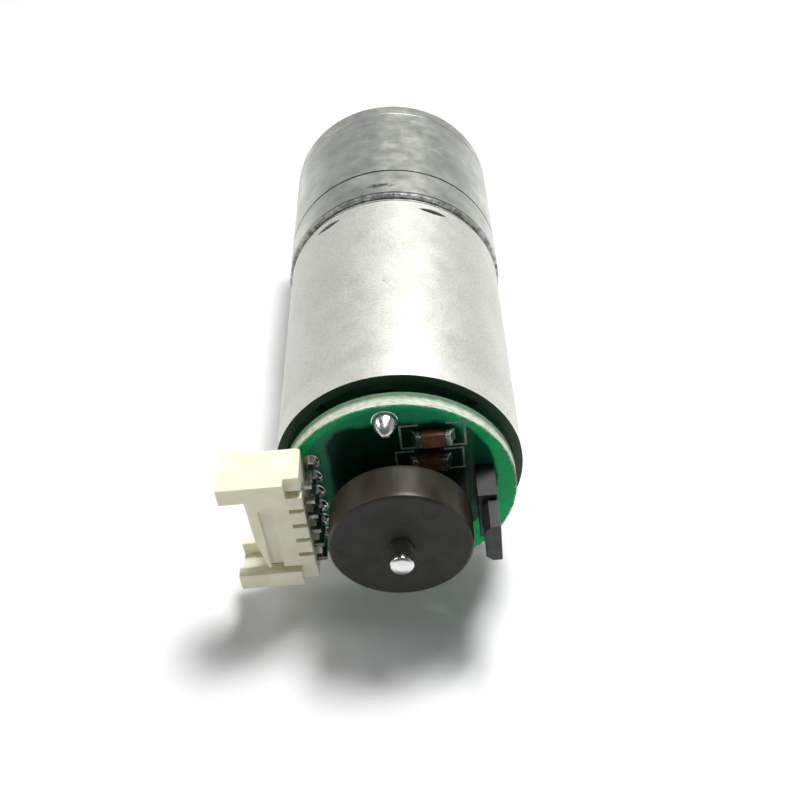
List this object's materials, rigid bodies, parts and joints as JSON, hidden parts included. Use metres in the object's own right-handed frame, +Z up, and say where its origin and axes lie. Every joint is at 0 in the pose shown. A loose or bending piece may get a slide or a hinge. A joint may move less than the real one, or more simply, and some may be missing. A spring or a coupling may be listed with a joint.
{
  "type": "geared dc motor",
  "caption": "Round geared DC motor: spur gearbox with a D-flat output shaft, steel motor can and an open magnetic encoder with a side-entry plug socket.",
  "frame": {"origin": "centre of the gearbox's mounting face, on the shaft axis", "axes": "+Y along the output shaft, out of the gearbox; -Y to the encoder; +Z up; +X to the right seen from the encoder end"},
  "size_m": [0.0293, 0.0778, 0.025],
  "materials": {
    "case_metal": "cast and turned, satin",
    "bronze": "sintered, satin",
    "pin_steel": "ground",
    "screw_steel": "blackened",
    "zinc_screw": "zinc plated",
    "shaft_steel": "ground and polished",
    "gear_steel": "sintered, oiled",
    "brass_gear": "machined",
    "can_steel": "drawn and nickel plated, matte",
    "ferrite": "sintered, dull",
    "spring_steel": "rolled",
    "end_cap_plastic": "moulded, glass filled",
    "carbon": "pressed graphite",
    "copper_leaf": "rolled",
    "tinned_brass": "tin plated",
    "lamination_steel": "stamped, stacked",
    "copper_wire": "enamelled wire",
    "commutator_plastic": "moulded",
    "commutator_copper": "turned",
    "spacer_plastic": "moulded",
    "board_green": "solder resist over glass fibre",
    "solder": "bright solder",
    "capacitor_ceramic": "glazed ceramic",
    "sensor_black": "moulded epoxy",
    "connector_cream": "moulded nylon, natural",
    "encoder_magnet": "bonded ferrite, satin"
  },
  "bodies": {
    "stator": {"front_plate": "case_metal", "gearbox_tube": "case_metal", "rear_plate": "case_metal", "output_bushing": "bronze", "gear_pin_left": "pin_steel", "gear_pin_right": "pin_steel", "pin_spacers": "bronze", "tie_screws": "screw_steel", "motor_mount_screws": "zinc_screw", "motor_can": "can_steel", "front_bearing": "bronze", "field_magnet_upper": "ferrite", "field_magnet_lower": "ferrite", "magnet_springs": "spring_steel", "end_cap": "end_cap_plastic", "rear_bearing": "bronze", "brushes": "carbon", "brush_arms": "copper_leaf", "motor_terminals": "tinned_brass", "encoder_board": "board_green", "terminal_solder": "solder", "capacitor_bodies": "capacitor_ceramic", "capacitor_ends": "solder", "hall_spacer": "sensor_black", "hall_sensor": "sensor_black", "hall_leads": "tinned_brass", "connector_housing": "connector_cream", "connector_pins": "tinned_brass", "connector_solder": "solder"},
    "rotor": {"motor_shaft": "shaft_steel", "motor_pinion": "brass_gear", "armature_core": "lamination_steel", "armature_windings": "copper_wire", "commutator_hub": "commutator_plastic", "commutator_segments": "commutator_copper", "rotor_spacers": "spacer_plastic", "encoder_magnet": "encoder_magnet"},
    "gear_1": {"compound_gear_1": "gear_steel"},
    "gear_2": {"compound_gear_2": "gear_steel"},
    "gear_3": {"compound_gear_3": "gear_steel"},
    "gear_4": {"compound_gear_4": "gear_steel"},
    "output": {"output_shaft": "shaft_steel", "output_gear": "gear_steel", "output_washer": "pin_steel"}
  },
  "joints": [
    {"name": "rotor_spin", "type": "hinge", "parent": "stator", "child": "rotor", "pos_m": [0, 0, 0], "axis": [0, 1, 0], "continuous": true},
    {"name": "gear_1_spin", "type": "hinge", "parent": "stator", "child": "gear_1", "pos_m": [-0.0032, 0, 0.00554], "axis": [0, 1, 0], "continuous": true},
    {"name": "gear_2_spin", "type": "hinge", "parent": "stator", "child": "gear_2", "pos_m": [0.0032, 0, 0.00554], "axis": [0, 1, 0], "continuous": true},
    {"name": "gear_3_spin", "type": "hinge", "parent": "stator", "child": "gear_3", "pos_m": [-0.0032, 0, 0.00554], "axis": [0, 1, 0], "continuous": true},
    {"name": "gear_4_spin", "type": "hinge", "parent": "stator", "child": "gear_4", "pos_m": [0.0032, 0, 0.00554], "axis": [0, 1, 0], "continuous": true},
    {"name": "output_spin", "type": "hinge", "parent": "stator", "child": "output", "pos_m": [0, 0, 0], "axis": [0, 1, 0], "continuous": true}
  ],
  "couplings": [
    {"joint": "gear_1_spin", "follows": "rotor_spin", "ratio": -0.45455},
    {"joint": "gear_2_spin", "follows": "rotor_spin", "ratio": 0.20661},
    {"joint": "gear_3_spin", "follows": "rotor_spin", "ratio": -0.093914},
    {"joint": "gear_4_spin", "follows": "rotor_spin", "ratio": 0.042688},
    {"joint": "output_spin", "follows": "rotor_spin", "ratio": -0.019404}
  ]
}
